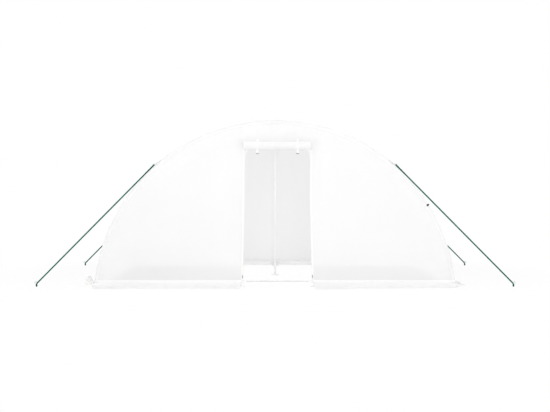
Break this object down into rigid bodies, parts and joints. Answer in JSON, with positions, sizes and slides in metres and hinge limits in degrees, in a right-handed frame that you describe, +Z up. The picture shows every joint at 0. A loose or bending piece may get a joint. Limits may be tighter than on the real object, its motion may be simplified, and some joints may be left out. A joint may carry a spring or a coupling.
{
  "type": "polytunnel greenhouse",
  "caption": "Round-arched polytunnel greenhouse: hooped tube frame under white film, open doorway with the film door rolled up and tied, ground skirts, guy ropes and pegs.",
  "frame": {"origin": "on the ground under the middle of the whole part, which is the middle of the tunnel", "axes": "+X across the tunnel to the right as seen from the door end, +Y along it from the door end to the rear, +Z up"},
  "size_m": [6.671, 4.7126, 2.3063],
  "materials": {
    "tube": "white powder coat, satin",
    "fitting": "white powder coat, satin",
    "film": "translucent white reinforced film, satin",
    "skirt_film": "white reinforced film, satin",
    "webbing": "woven white webbing",
    "black_plastic": "moulded, matt",
    "rope": "laid dark green cord",
    "peg_steel": "zinc-plated rod"
  },
  "bodies": {
    "root": {"front_hoop": "tube", "middle_hoop": "tube", "rear_hoop": "tube", "ridge_purlin": "tube", "left_purlins": "tube", "right_purlins": "tube", "left_ground_rail": "tube", "right_ground_rail": "tube", "front_ground_rail": "tube", "rear_ground_rail": "tube", "left_door_post": "tube", "right_door_post": "tube", "door_header": "tube", "centre_post": "tube", "rear_post": "tube", "front_hoop_joints": "fitting", "middle_hoop_joints": "fitting", "rear_hoop_joints": "fitting", "hoop_feet": "fitting", "door_frame_fittings": "fitting", "post_feet": "fitting", "roof_right_1": "film", "roof_right_2": "film", "roof_right_3": "film", "roof_right_4": "film", "roof_left_4": "film", "roof_left_3": "film", "roof_left_2": "film", "roof_left_1": "film", "front_wall_left": "film", "front_wall_right": "film", "front_wall_head": "film", "rear_wall": "film", "door_roll": "film", "left_skirt": "skirt_film", "right_skirt": "skirt_film", "front_skirt": "skirt_film", "rear_skirt": "skirt_film", "door_ties": "webbing", "door_zips": "webbing", "rope_tabs": "webbing", "door_tie_buckles": "black_plastic", "zip_sliders": "black_plastic", "cover_toggle": "black_plastic", "front_guy_ropes": "rope", "rear_guy_ropes": "rope", "ground_pegs": "peg_steel"}
  },
  "joints": []
}
